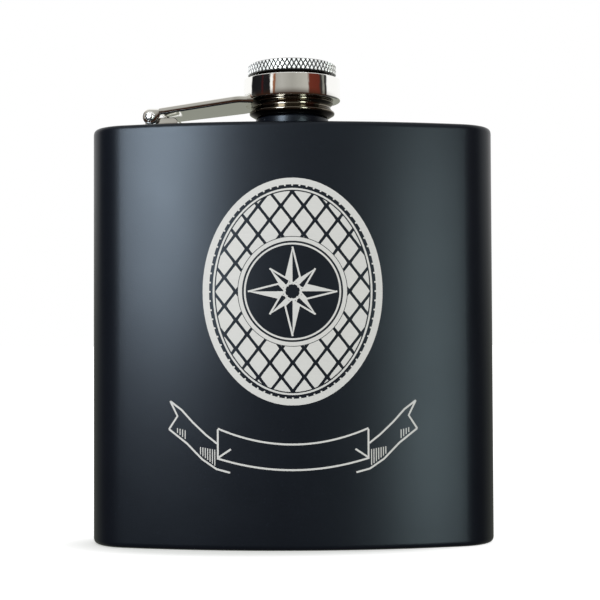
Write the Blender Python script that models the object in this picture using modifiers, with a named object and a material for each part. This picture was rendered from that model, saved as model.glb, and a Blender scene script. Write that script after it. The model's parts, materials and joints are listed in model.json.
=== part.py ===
"""Six-ounce hip flask with a captive screw cap, for Blender 4.5.

Metres, +Z up. The flask stands on the XY plane with its convex front facing -Y, and the origin is
the centre of its footprint. Every size is a named value below; what fits or seats on another
piece is worked out from that piece's sizes and a named clearance.
"""

import math

import bmesh
import bpy
from mathutils import Matrix, Vector

MM = 0.001

# Body: a kidney-shaped tube, closed by a pressed plate at each end
BODY_WIDTH = 95.0 * MM
BODY_HEIGHT = 98.1 * MM
BODY_THICKNESS = 21.0 * MM
FRONT_RADIUS = 145.0 * MM
BODY_WALL = 0.6 * MM
PLATE_THICKNESS = 0.8 * MM
EDGE_RADIUS = 1.4 * MM
PLATE_SKIRT = 0.6 * MM
BASE_RIM_WIDTH = 2.4 * MM
BASE_RECESS = 0.6 * MM

# Neck: a turned spout, welded through the shoulder
NECK_BORE_RADIUS = 5.9 * MM
NECK_WALL = 1.1 * MM
NECK_HEIGHT = 9.1 * MM
NECK_SPIGOT = 2.0 * MM
COLLAR_WIDTH = 1.55 * MM
COLLAR_HEIGHT = 1.7 * MM
THREAD_DEPTH = 0.6 * MM
THREAD_PITCH = 1.6 * MM
THREAD_CREST = 0.35 * MM
THREAD_BASE = 1.1 * MM
THREAD_RUNOUT = 1.1 * MM

# Cap: a threaded core and a knurled crown, pressed together through the arm's ring
CORE_WALL = 0.7 * MM
CORE_ROOF = 0.75 * MM
FLANGE_WIDTH = 1.07 * MM
FLANGE_EDGE = 0.4 * MM
FLANGE_RISE = 1.2 * MM
GROOVE_DEPTH = 0.15 * MM
GROOVE_RISE = 1.2 * MM
BEAD_RISE = 0.5 * MM
BEAD_WIDTH = 0.9 * MM
BEAD_HEIGHT = 0.7 * MM
CROWN_ROOF = 1.6 * MM
CROWN_AIR = 1.35 * MM
CROWN_HEIGHT = 3.0 * MM
CROWN_OVERLAP = 0.05 * MM
CHAMFER = 0.3 * MM
SEAL_THICKNESS = 1.3 * MM

# Captive arm: a stamped strip that ends in a ring round the cap, and in two ears on the hinge pin
RING_WALL = 1.1 * MM
RING_LIP_WIDTH = 1.0 * MM
RING_LIP_THICKNESS = 1.2 * MM
RING_TO_CROWN = 0.75 * MM
ARM_THICKNESS = 1.5 * MM
ARM_WIDTH_AT_RING = 17.0 * MM
ARM_WIDTH_AT_HINGE = 13.5 * MM
ARM_EDGE_ROUND = 0.3 * MM
ARM_BELOW_RING = 1.05 * MM
EAR_RADIUS = 1.85 * MM
EAR_THICKNESS = 1.3 * MM
EAR_REACH = 2.6 * MM

# Hinge: a bracket welded to the shoulder, and a riveted pin
HINGE_FROM_END = 15.0 * MM
PIN_HEIGHT = 2.3 * MM
PIN_RADIUS = 0.75 * MM
PIN_HEAD_RADIUS = 1.15 * MM
PIN_HEAD_HEIGHT = 0.45 * MM
KNUCKLE_RADIUS = 1.5 * MM
BRACKET_TAIL = 6.2 * MM
BRACKET_HEEL = 1.7 * MM
BRACKET_TO_ARM = 0.45 * MM

# Clearances
WELD_GAP = 0.3 * MM
PRESS_GAP = 0.3 * MM
RUNNING_GAP = 0.2 * MM
RING_PLAY = 0.3 * MM
SWING_MARGIN = 0.12 * MM
SIDE_PLAY = 0.3 * MM

ARC_STEPS = 14
END_STEPS = 12
EDGE_STEPS = 4
TURN_STEPS = 48
SMALL_ARC_STEPS = 12

# Plan of the body: front and back are arcs about one centre, and the ends are half-round
mid_radius = FRONT_RADIUS - BODY_THICKNESS / 2
back_radius = FRONT_RADIUS - BODY_THICKNESS
end_radius = BODY_THICKNESS / 2
end_angle = math.asin((BODY_WIDTH / 2 - end_radius) / mid_radius)

# Heights above the shoulder, from the neck up to the cap's top
core_bottom = COLLAR_HEIGHT + RING_PLAY
flange_height = core_bottom + FLANGE_RISE
groove_height = flange_height + GROOVE_RISE
bead_bottom = groove_height + BEAD_RISE
bead_top = bead_bottom + BEAD_HEIGHT
ring_bottom = bead_top + RING_PLAY
lip_top = ring_bottom + RING_LIP_THICKNESS
crown_foot = lip_top + RING_PLAY
seal_bottom = NECK_HEIGHT + PRESS_GAP
seal_top = seal_bottom + SEAL_THICKNESS
core_ceiling = seal_top + PRESS_GAP
core_top = core_ceiling + CORE_ROOF
crown_ceiling = core_top + CROWN_AIR
crown_top = crown_ceiling + CROWN_ROOF
crown_bottom = crown_top - CROWN_HEIGHT
ring_top = crown_bottom - RING_TO_CROWN

# Where the neck and the hinge pin stand along the body's middle arc, measured from its centre
hinge_x = -(BODY_WIDTH / 2 - HINGE_FROM_END)
hinge_back = mid_radius - math.sqrt(mid_radius**2 - hinge_x**2)
arm_reach = math.hypot(hinge_x, hinge_back)
arm_yaw = math.atan2(-hinge_back, -hinge_x)

# Radii about the neck's axis. As the arm swings up, the cap's far side comes in by swing_shift.
thread_root = NECK_BORE_RADIUS + NECK_WALL
thread_crest = thread_root + THREAD_DEPTH
collar_radius = thread_root + COLLAR_WIDTH
swing_shift = (NECK_HEIGHT - PIN_HEIGHT) ** 2 / (2 * (arm_reach + thread_crest))
core_bore = thread_crest + swing_shift + SWING_MARGIN
core_radius = core_bore + CORE_WALL
lip_radius = core_radius + RING_PLAY
ring_bore = lip_radius + RING_LIP_WIDTH
ring_radius = ring_bore + RING_WALL
crown_radius = ring_bore + CROWN_OVERLAP

# The frame: the origin is below the middle of the object's footprint
front_most = min(0.0, end_radius - ring_radius)
back_most = mid_radius - mid_radius * math.cos(end_angle) + 2 * end_radius
front_y = -(front_most + back_most) / 2
arc_centre_y = front_y + FRONT_RADIUS
neck_y = front_y + end_radius
hinge_y = neck_y + hinge_back


def clear_scene():
    for obj in list(bpy.data.objects):
        bpy.data.objects.remove(obj)


def new_collection(name, hidden=False):
    collection = bpy.data.collections.new(name)
    bpy.context.scene.collection.children.link(collection)
    collection.hide_render = hidden
    return collection


def new_material(name, colour, roughness, metallic):
    material = bpy.data.materials.new(name)
    material.use_nodes = True
    shader = material.node_tree.nodes["Principled BSDF"]
    shader.inputs["Base Color"].default_value = (*colour, 1.0)
    shader.inputs["Roughness"].default_value = roughness
    shader.inputs["Metallic"].default_value = metallic
    return material


clear_scene()
FLASK = new_collection("hip_flask")
CUTTERS = new_collection("cutters", hidden=True)
COATING = new_material("matte_black_coating", (0.02, 0.022, 0.026), 0.45, 0.0)
CHROME = new_material("polished_chrome", (0.82, 0.81, 0.79), 0.06, 1.0)
STEEL = new_material("bare_steel", (0.62, 0.61, 0.59), 0.3, 1.0)
SILICONE = new_material("clear_silicone", (0.75, 0.76, 0.74), 0.5, 0.0)


def new_object(name, mesh, material=None):
    """A part of the flask, or a hidden tool when it has no material."""
    obj = bpy.data.objects.new(name, mesh)
    if material is None:
        CUTTERS.objects.link(obj)
        obj.hide_render = True
        obj.display_type = "WIRE"
    else:
        FLASK.objects.link(obj)
        obj.data.materials.append(material)
    return obj


def new_axis(name, location, yaw=0.0):
    axis = bpy.data.objects.new(name, None)
    FLASK.objects.link(axis)
    axis.location = location
    axis.rotation_euler.z = yaw
    return axis


def join(obj, other, operation):
    """Adds a Boolean with another object."""
    boolean = obj.modifiers.new(operation.lower() + "_" + other.name, "BOOLEAN")
    boolean.operation = operation
    boolean.object = other
    boolean.solver = "EXACT"


def soften(obj, width, segments=2):
    """Rounds the sharp edges."""
    bevel = obj.modifiers.new("rounding", "BEVEL")
    bevel.width = width
    bevel.segments = segments
    bevel.limit_method = "ANGLE"
    bevel.angle_limit = math.radians(40)


def arc(centre, radius, start, end, steps):
    """Points along a circle's arc, both ends included; angles in radians, anticlockwise from +X."""
    angles = [start + (end - start) * i / steps for i in range(steps + 1)]
    return [(centre[0] + radius * math.cos(a), centre[1] + radius * math.sin(a)) for a in angles]


def kidney(inset):
    """The body's plan outline, anticlockwise from above, moved inwards by inset."""
    quarter = math.pi / 2
    middle = (0.0, arc_centre_y)
    right = (mid_radius * math.sin(end_angle), arc_centre_y - mid_radius * math.cos(end_angle))
    left = (-right[0], right[1])
    front = arc(middle, FRONT_RADIUS - inset, -quarter - end_angle, -quarter + end_angle, ARC_STEPS)
    back = arc(middle, back_radius + inset, -quarter + end_angle, -quarter - end_angle, ARC_STEPS)
    radius = end_radius - inset
    right_end = arc(right, radius, end_angle - quarter, end_angle + quarter, END_STEPS)
    left_end = arc(left, radius, quarter - end_angle, 3 * quarter - end_angle, END_STEPS)
    return front[:-1] + right_end[:-1] + back[:-1] + left_end[:-1]


def extruded(name, loops, depth, material=None):
    """A flat outline in the XY plane, with any holes, extruded up and down by half the depth."""
    curve = bpy.data.curves.new(name, "CURVE")
    curve.dimensions = "2D"
    curve.fill_mode = "BOTH"
    curve.extrude = depth / 2
    for loop in loops:
        spline = curve.splines.new("POLY")
        spline.points.add(len(loop) - 1)
        for point, (x, y) in zip(spline.points, loop):
            point.co = (x, y, 0.0, 1.0)
        spline.use_cyclic_u = True
    guide = new_object(name + "_outline", curve)
    graph = bpy.context.evaluated_depsgraph_get()
    mesh = bpy.data.meshes.new_from_object(guide.evaluated_get(graph))
    bpy.data.objects.remove(guide)
    shape = bmesh.new()
    shape.from_mesh(mesh)
    bmesh.ops.remove_doubles(shape, verts=shape.verts, dist=0.001 * MM)
    bmesh.ops.recalc_face_normals(shape, faces=shape.faces)
    shape.to_mesh(mesh)
    shape.free()
    mesh.name = name
    return new_object(name, mesh, material)


def turned(name, profile, material=None, closed=True):
    """A profile of (radius, height) turned about the local Z axis, given down its outer side."""
    mesh = bpy.data.meshes.new(name)
    edges = [(i, i + 1) for i in range(len(profile) - 1)]
    if closed:
        edges.append((len(profile) - 1, 0))
    mesh.from_pydata([(radius, 0.0, height) for radius, height in profile], edges, [])
    obj = new_object(name, mesh, material)
    screw = obj.modifiers.new("turning", "SCREW")
    screw.steps = TURN_STEPS
    screw.render_steps = TURN_STEPS
    screw.use_merge_vertices = True
    screw.merge_threshold = 0.001 * MM
    return obj


def cylinder(name, radius, depth, segments=TURN_STEPS):
    """A cutter along the local Z axis."""
    mesh = bpy.data.meshes.new(name)
    shape = bmesh.new()
    bmesh.ops.create_cone(
        shape, cap_ends=True, segments=segments, radius1=radius, radius2=radius, depth=depth
    )
    shape.to_mesh(mesh)
    shape.free()
    return new_object(name, mesh)


def pressed_plate(name, rings):
    """A pressed plate: rings of the body's outline as (inset, height), then a flat middle."""
    shape = bmesh.new()
    verts = [shape.verts.new((x, y, rings[0][1])) for x, y in kidney(rings[0][0])]
    edges = [shape.edges.new(pair) for pair in zip(verts, verts[1:] + verts[:1])]
    for inset, height in rings[1:]:
        raised = bmesh.ops.extrude_edge_only(shape, edges=edges)["geom"]
        edges = [item for item in raised if isinstance(item, bmesh.types.BMEdge)]
        verts = [item for item in raised if isinstance(item, bmesh.types.BMVert)]
        for vert, (x, y) in zip(verts, kidney(inset)):
            vert.co = (x, y, height)
    bmesh.ops.contextual_create(shape, geom=edges)
    bmesh.ops.recalc_face_normals(shape, faces=shape.faces)
    mesh = bpy.data.meshes.new(name)
    shape.to_mesh(mesh)
    shape.free()
    plate = new_object(name, mesh, COATING)
    sheet = plate.modifiers.new("sheet", "SOLIDIFY")
    sheet.thickness = PLATE_THICKNESS
    sheet.use_even_offset = True
    return plate


def rounded_edge(height, rise):
    """Rings of a plate's rounded edge, from its skirt in to its flat, which lies at height."""
    rings = [(0.0, height - rise * (EDGE_RADIUS + PLATE_SKIRT))]
    for step in range(EDGE_STEPS + 1):
        angle = math.pi / 2 * step / EDGE_STEPS
        inset = EDGE_RADIUS * (1 - math.cos(angle))
        rings.append((inset, height - rise * EDGE_RADIUS * (1 - math.sin(angle))))
    return rings


def build_body():
    """The rolled wall, and the plates that close it."""
    wall_low = EDGE_RADIUS + PLATE_SKIRT + WELD_GAP
    wall_high = BODY_HEIGHT - wall_low
    wall = extruded("body_wrap", [kidney(0.0), kidney(BODY_WALL)], wall_high - wall_low, COATING)
    wall.location.z = (wall_low + wall_high) / 2

    shoulder = pressed_plate("shoulder_plate", rounded_edge(BODY_HEIGHT, 1))
    hole = cylinder("neck_hole", thread_root + WELD_GAP, 4 * PLATE_THICKNESS)
    hole.location = (0.0, neck_y, BODY_HEIGHT)
    join(shoulder, hole, "DIFFERENCE")

    rim = EDGE_RADIUS + BASE_RIM_WIDTH
    recess = [(rim, 0.0), (rim + BASE_RECESS, BASE_RECESS)]
    pressed_plate("base_plate", rounded_edge(0.0, -1) + recess)


def thread_ridge():
    """The neck's helical ridge, swept from a flat section."""
    start = COLLAR_HEIGHT + THREAD_RUNOUT
    turns = (NECK_HEIGHT - THREAD_RUNOUT - start) / THREAD_PITCH
    steps = round(turns * TURN_STEPS)
    foot = thread_root - NECK_WALL / 2
    section = [
        (foot, start - THREAD_BASE / 2),
        (thread_crest, start - THREAD_CREST / 2),
        (thread_crest, start + THREAD_CREST / 2),
        (foot, start + THREAD_BASE / 2),
    ]
    shape = bmesh.new()
    face = shape.faces.new([shape.verts.new((r, 0.0, z)) for r, z in section])
    bmesh.ops.spin(
        shape,
        geom=[face, *face.edges, *face.verts],
        cent=(0, 0, 0),
        axis=(0, 0, 1),
        dvec=(0, 0, THREAD_PITCH / TURN_STEPS),
        angle=2 * math.pi * steps / TURN_STEPS,
        steps=steps,
    )
    bmesh.ops.recalc_face_normals(shape, faces=shape.faces)
    mesh = bpy.data.meshes.new("thread_ridge")
    shape.to_mesh(mesh)
    shape.free()
    return new_object("thread_ridge", mesh)


def build_neck():
    """The threaded spout: its spigot goes through the shoulder, and its collar sits on it."""
    profile = [
        (thread_root - CHAMFER, NECK_HEIGHT),
        (thread_root, NECK_HEIGHT - CHAMFER),
        (thread_root, COLLAR_HEIGHT),
        (collar_radius - CHAMFER, COLLAR_HEIGHT),
        (collar_radius, COLLAR_HEIGHT - CHAMFER),
        (collar_radius, WELD_GAP),
        (thread_root, WELD_GAP),
        (thread_root, -NECK_SPIGOT),
        (NECK_BORE_RADIUS, -NECK_SPIGOT),
        (NECK_BORE_RADIUS, NECK_HEIGHT - CHAMFER),
        (NECK_BORE_RADIUS + CHAMFER, NECK_HEIGHT),
    ]
    neck = turned("neck_spout", profile, COATING)
    neck.location = (0.0, neck_y, BODY_HEIGHT)
    ridge = thread_ridge()
    ridge.location = neck.location
    ridge.rotation_euler.z = 2 * math.pi / TURN_STEPS / 3
    join(neck, ridge, "UNION")


def build_cap(axis):
    """The parts that turn together in the arm's ring: core, crown and seal."""
    flange_radius = core_radius + FLANGE_WIDTH
    core = turned(
        "cap_core",
        [
            (0.0, core_top),
            (core_radius - CHAMFER, core_top),
            (core_radius, core_top - CHAMFER),
            (core_radius, bead_top),
            (core_radius + BEAD_WIDTH - CHAMFER, bead_top),
            (core_radius + BEAD_WIDTH, bead_top - CHAMFER),
            (core_radius + BEAD_WIDTH, bead_bottom),
            (core_radius - GROOVE_DEPTH, groove_height),
            (flange_radius - FLANGE_EDGE, flange_height + FLANGE_EDGE / 2),
            (flange_radius, flange_height),
            (flange_radius, flange_height - FLANGE_EDGE),
            (core_bore + CORE_WALL / 2, core_bottom),
            (core_bore, core_bottom),
            (core_bore, core_ceiling),
            (0.0, core_ceiling),
        ],
        CHROME,
        closed=False,
    )
    spigot_radius = ring_bore - RING_PLAY
    spigot_bore = core_radius + PRESS_GAP
    crown = turned(
        "knurled_crown",
        [
            (0.0, crown_top),
            (crown_radius - 2 * CHAMFER, crown_top),
            (crown_radius, crown_top - CHAMFER),
            (crown_radius, crown_bottom + CHAMFER),
            (crown_radius - CHAMFER, crown_bottom),
            (spigot_radius, crown_bottom),
            (spigot_radius, crown_foot),
            (spigot_bore, crown_foot),
            (spigot_bore, crown_ceiling),
            (0.0, crown_ceiling),
        ],
        CHROME,
        closed=False,
    )
    seal_radius = core_bore - PRESS_GAP
    seal = turned(
        "cap_seal",
        [(0.0, seal_top), (seal_radius, seal_top), (seal_radius, seal_bottom), (0.0, seal_bottom)],
        SILICONE,
        closed=False,
    )
    for part in (core, crown, seal):
        part.parent = axis


def arm_strip():
    """The arm's flat strip in the hinge's frame: +X runs to the ring, and Z is from the shoulder."""
    start = EAR_RADIUS + SIDE_PLAY
    end = arm_reach
    low = PIN_HEIGHT + EAR_RADIUS - ARM_THICKNESS
    high = ring_bottom - ARM_BELOW_RING
    run = arm_reach - ring_radius - start
    shape = bmesh.new()
    corners = []
    for x in (start, end):
        share = (x - start) / run
        half = (ARM_WIDTH_AT_HINGE + (ARM_WIDTH_AT_RING - ARM_WIDTH_AT_HINGE) * share) / 2
        height = low + (high - low) * share
        corners.append([(x, -half, height), (x, half, height)])
    order = [corners[0][0], corners[1][0], corners[1][1], corners[0][1]]
    shape.faces.new([shape.verts.new(point) for point in order])
    mesh = bpy.data.meshes.new("captive_arm")
    shape.to_mesh(mesh)
    shape.free()
    strip = new_object("captive_arm", mesh, CHROME)
    sheet = strip.modifiers.new("sheet", "SOLIDIFY")
    sheet.thickness = ARM_THICKNESS
    sheet.offset = 1.0
    soften(strip, ARM_EDGE_ROUND, 3)
    return strip


def arm_ring():
    """The ring that holds the cap: a band with a lip at its foot."""
    profile = [
        (ring_radius - CHAMFER, ring_top),
        (ring_radius, ring_top - CHAMFER),
        (ring_radius, ring_bottom + CHAMFER),
        (ring_radius - CHAMFER, ring_bottom),
        (lip_radius, ring_bottom),
        (lip_radius, lip_top),
        (ring_bore, lip_top),
        (ring_bore, ring_top),
    ]
    return turned("arm_ring", profile)


def arm_ear(name, side):
    """One ear: round about the pin, and running in under the strip. Drawn in its own XY plane."""
    strip_low = EAR_RADIUS - ARM_THICKNESS / 2
    nose = arc((0.0, 0.0), EAR_RADIUS, math.pi / 2, 3 * math.pi / 2, SMALL_ARC_STEPS)
    heel = arc((0.0, 0.0), EAR_RADIUS, -math.pi / 2, -math.pi / 6, SMALL_ARC_STEPS // 2)
    outline = nose + heel[1:] + [(EAR_REACH, strip_low), (EAR_REACH, EAR_RADIUS - ARM_EDGE_ROUND / 3)]
    ear = extruded(name, [outline], EAR_THICKNESS)
    across = ARM_WIDTH_AT_HINGE / 2 - EAR_THICKNESS / 2 - RUNNING_GAP
    ear.location = (0.0, side * across, PIN_HEIGHT)
    ear.rotation_euler.x = math.pi / 2
    return ear


def build_arm(axis):
    """The captive arm: strip, ring and ears are one stamped and brazed piece."""
    strip = arm_strip()
    room = cylinder("ring_room", ring_bore + RING_WALL / 2, 4 * ARM_THICKNESS)
    room.location = (arm_reach, 0.0, ring_bottom)
    ring = arm_ring()
    ring.location.x = arm_reach
    pin_hole = cylinder("ear_pin_hole", PIN_RADIUS + RUNNING_GAP, 2 * ARM_WIDTH_AT_HINGE, 24)
    pin_hole.location.z = PIN_HEIGHT
    pin_hole.rotation_euler.x = math.pi / 2
    ears = [arm_ear("front_ear", -1), arm_ear("back_ear", 1)]
    for piece in (strip, room, ring, pin_hole, *ears):
        piece.parent = axis
    join(strip, room, "DIFFERENCE")
    join(strip, ring, "UNION")
    for ear in ears:
        join(strip, ear, "UNION")
    join(strip, pin_hole, "DIFFERENCE")


def build_pin(axis):
    """The hinge pin: a straight shaft with a domed rivet head at each end."""
    half = ARM_WIDTH_AT_HINGE / 2
    dome = []
    for step in range(4):
        angle = math.pi / 2 * (1 - step / 3)
        dome.append((PIN_HEAD_RADIUS * math.cos(angle), half + PIN_HEAD_HEIGHT * math.sin(angle)))
    head = [(0.0, dome[0][1]), *dome[1:], (PIN_RADIUS, half)]
    profile = head + [(radius, -height) for radius, height in reversed(head)]
    pin = turned("hinge_pin", profile, STEEL, closed=False)
    pin.parent = axis
    pin.location.z = PIN_HEIGHT
    pin.rotation_euler.x = math.pi / 2


def build_bracket(axis):
    """The bracket: a knuckle for the pin on a foot whose tail runs in under the arm."""
    foot = WELD_GAP - PIN_HEIGHT
    tail_top = EAR_RADIUS - ARM_THICKNESS - BRACKET_TO_ARM
    nose = (tail_top - foot) / 2
    start = math.asin(tail_top / KNUCKLE_RADIUS)
    knuckle = arc((0.0, 0.0), KNUCKLE_RADIUS, start, math.pi, 2 * SMALL_ARC_STEPS)
    tail = arc(
        (BRACKET_TAIL - nose, tail_top - nose), nose, 0.0, math.pi / 2, SMALL_ARC_STEPS // 2
    )
    outline = [(-KNUCKLE_RADIUS, foot + nose), (-BRACKET_HEEL, foot), (BRACKET_TAIL, foot)]
    outline += tail + knuckle
    bore = arc((0.0, 0.0), PIN_RADIUS + RUNNING_GAP, 0.0, 2 * math.pi, 24)[:-1]
    width = ARM_WIDTH_AT_HINGE - 2 * (EAR_THICKNESS + RUNNING_GAP + SIDE_PLAY)
    bracket = extruded("hinge_bracket", [outline, bore], width, CHROME)
    bracket.parent = axis
    bracket.location.z = PIN_HEIGHT
    bracket.rotation_euler.x = math.pi / 2


def shade_round_parts():
    for obj in FLASK.objects:
        if obj.type == "MESH":
            obj.data.shade_smooth()
            obj.data.set_sharp_from_angle(angle=math.radians(30))


def main():
    build_body()
    build_neck()
    cap_axis = new_axis("cap_axis", (0.0, neck_y, BODY_HEIGHT))
    hinge_axis = new_axis("hinge_axis", (hinge_x, hinge_y, BODY_HEIGHT), arm_yaw)
    build_cap(cap_axis)
    build_arm(hinge_axis)
    build_pin(hinge_axis)
    build_bracket(hinge_axis)
    shade_round_parts()


main()
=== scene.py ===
import json
import math

import bmesh
import bpy
from mathutils import Matrix, Vector

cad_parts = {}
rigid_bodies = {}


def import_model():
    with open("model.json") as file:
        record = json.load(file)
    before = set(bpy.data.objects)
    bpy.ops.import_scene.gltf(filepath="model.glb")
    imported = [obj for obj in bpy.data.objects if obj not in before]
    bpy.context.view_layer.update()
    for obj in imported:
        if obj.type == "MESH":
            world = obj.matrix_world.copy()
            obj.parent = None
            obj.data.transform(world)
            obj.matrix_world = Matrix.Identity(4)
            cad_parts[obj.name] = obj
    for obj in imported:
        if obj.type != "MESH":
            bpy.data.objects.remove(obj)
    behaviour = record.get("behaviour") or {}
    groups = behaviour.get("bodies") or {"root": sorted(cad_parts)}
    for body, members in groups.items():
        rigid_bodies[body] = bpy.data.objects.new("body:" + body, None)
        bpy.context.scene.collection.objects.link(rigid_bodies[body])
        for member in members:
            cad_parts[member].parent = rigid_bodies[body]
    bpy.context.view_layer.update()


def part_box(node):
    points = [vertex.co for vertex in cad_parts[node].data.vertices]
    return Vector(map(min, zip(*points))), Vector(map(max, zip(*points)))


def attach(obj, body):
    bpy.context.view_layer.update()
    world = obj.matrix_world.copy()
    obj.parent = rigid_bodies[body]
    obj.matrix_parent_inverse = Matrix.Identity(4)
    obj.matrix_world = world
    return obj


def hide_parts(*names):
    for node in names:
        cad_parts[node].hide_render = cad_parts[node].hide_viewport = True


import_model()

bl_info = {
    "name": "Hip Flask",
    "version": (1, 0, 0),
    "blender": (4, 5, 0),
    "location": "View3D > Sidebar > Flask",
    "description": "Builds a coated hip flask with a captive knurled cap round its solid frame",
    "category": "Add Mesh",
}

MM = 0.001
SHOULDER_LOW, SHOULDER_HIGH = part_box("shoulder_plate")
CORE_LOW, CORE_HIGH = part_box("cap_core")
CROWN_LOW, CROWN_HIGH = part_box("knurled_crown")
NECK_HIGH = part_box("neck_spout")[1]
PIN_LOW, PIN_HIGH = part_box("hinge_pin")
SEAL_LOW, SEAL_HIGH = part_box("cap_seal")
SHOULDER_Z = SHOULDER_HIGH.z
CAP_AXIS = Vector(((CORE_LOW.x + CORE_HIGH.x) / 2, (CORE_LOW.y + CORE_HIGH.y) / 2, SHOULDER_Z))
PIN_CENTRE = (PIN_LOW + PIN_HIGH) / 2
TO_CAP = (CAP_AXIS - PIN_CENTRE).to_2d()
ARM_REACH = TO_CAP.length
ARM_FRAME = Matrix.Translation((PIN_CENTRE.x, PIN_CENTRE.y, SHOULDER_Z)) @ Matrix.Rotation(
    math.atan2(TO_CAP.y, TO_CAP.x), 4, "Z"
)
PIN_RISE = PIN_CENTRE.z - SHOULDER_Z
RING_TOP = (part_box("captive_arm")[1].z - SHOULDER_Z) / MM
RING_BOTTOM = 5.9
RING_RADIUS = 11.39
RING_ROOM_RADIUS = 10.8
EAR_RADIUS = 1.85
EAR_THICKNESS = 1.3
EAR_INSET = 0.85
STRIP_THICKNESS = 1.5
STRIP_BELOW_RING = 1.05
KNUCKLE_RADIUS = 1.5
BRACKET_INSET = 1.85
BRACKET_TAIL = 6.2
BRACKET_TO_ARM = 0.45
RIVET_RISE = 0.45
NECK_RADIUS = 7.0
NECK_BORE_RADIUS = 5.9
THREAD_PITCH = 1.6
CROWN_SKIRT = 3.0
SLEEVE_BORE = 9.29
RELIEF = 0.03 * MM
UP = Vector((0, 0, 1))
FULL_TURN = 2 * math.pi
LIT_BY_SOFTBOXES = (
    "coated_body",
    "neck_tube",
    "neck_thread",
    "cap_sleeve",
    "crown_knurl",
    "rivet",
    "engraved_emblem",
)


class FlaskSizes(bpy.types.PropertyGroup):
    """Sizes of the coated body and its engraving."""

    front_radius: bpy.props.FloatProperty(
        name="Front radius", description="Radius of the convex front, in plan",
        default=145 * MM, unit="LENGTH",
    )
    edge_radius: bpy.props.FloatProperty(
        name="Edge radius", description="Rounding of the shoulder's and the base's edges",
        default=1.4 * MM, unit="LENGTH",
    )
    thickness: bpy.props.FloatProperty(
        name="Thickness", description="From the front to the back, square to both",
        default=21 * MM, unit="LENGTH",
    )
    knurls: bpy.props.IntProperty(
        name="Knurls", description="Diamonds round the crown", default=60, min=12,
    )
    engraving_height: bpy.props.FloatProperty(
        name="Engraving height", description="Height of the medallion's centre above the base",
        default=59 * MM, unit="LENGTH",
    )
    arm_width_at_hinge: bpy.props.FloatProperty(
        name="Arm width at hinge", description="Width of the captive arm beside the pin",
        default=13.5 * MM, unit="LENGTH",
    )
    arm_width_at_ring: bpy.props.FloatProperty(
        name="Arm width at ring", description="Width of the captive arm where it meets the ring",
        default=17 * MM, unit="LENGTH",
    )
    line_width: bpy.props.FloatProperty(
        name="Line width", description="Width of the engraving's thin lines",
        default=0.42 * MM, unit="LENGTH",
    )


class FlaskColours(bpy.types.PropertyGroup):
    """Colours of the flask's finishes."""

    coat: bpy.props.FloatVectorProperty(
        name="Coat", description="Powder coat on the body and the neck",
        default=(0.0019, 0.0024, 0.0038), subtype="COLOR", size=3, min=0, max=1,
    )
    chrome: bpy.props.FloatVectorProperty(
        name="Chrome", description="Polished cap and arm",
        default=(0.97, 0.96, 0.93), subtype="COLOR", size=3, min=0, max=1,
    )
    # Dark bronze tone of the cap's sleeve: painted shade under the ring.
    sleeve_shade_tone: bpy.props.FloatVectorProperty(
        name="Bronze", description="Thin plating on the cap's sleeve",
        default=(0.16, 0.14, 0.11), subtype="COLOR", size=3, min=0, max=1,
    )
    # Near-black colour of the gap under the crown: painted shade.
    gap_shade_colour: bpy.props.FloatVectorProperty(
        name="Recess", description="Dull metal in the gap under the crown",
        default=(0.018, 0.016, 0.014), subtype="COLOR", size=3, min=0, max=1,
    )
    engraving: bpy.props.FloatVectorProperty(
        name="Engraving", description="Steel that the laser bared",
        default=(0.285, 0.268, 0.248), subtype="COLOR", size=3, min=0, max=1,
    )
    seal: bpy.props.FloatVectorProperty(
        name="Seal", description="Silicone disc in the cap",
        default=(0.72, 0.73, 0.70), subtype="COLOR", size=3, min=0, max=1,
    )


class Value:
    """A socket in a node tree. Its sums add Math nodes to the tree."""

    def __init__(self, tree, socket):
        self.tree = tree
        self.socket = socket

    def math(self, operation, *terms):
        node = self.tree.nodes.new("ShaderNodeMath")
        node.operation = operation
        for slot, term in zip(node.inputs, terms):
            if isinstance(term, Value):
                self.tree.links.new(term.socket, slot)
            else:
                slot.default_value = term
        return Value(self.tree, node.outputs[0])

    def __add__(self, other):
        return self.math("ADD", self, other)

    def __radd__(self, other):
        return self.math("ADD", other, self)

    def __sub__(self, other):
        return self.math("SUBTRACT", self, other)

    def __rsub__(self, other):
        return self.math("SUBTRACT", other, self)

    def __mul__(self, other):
        return self.math("MULTIPLY", self, other)

    def __truediv__(self, other):
        return self.math("DIVIDE", self, other)


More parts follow.
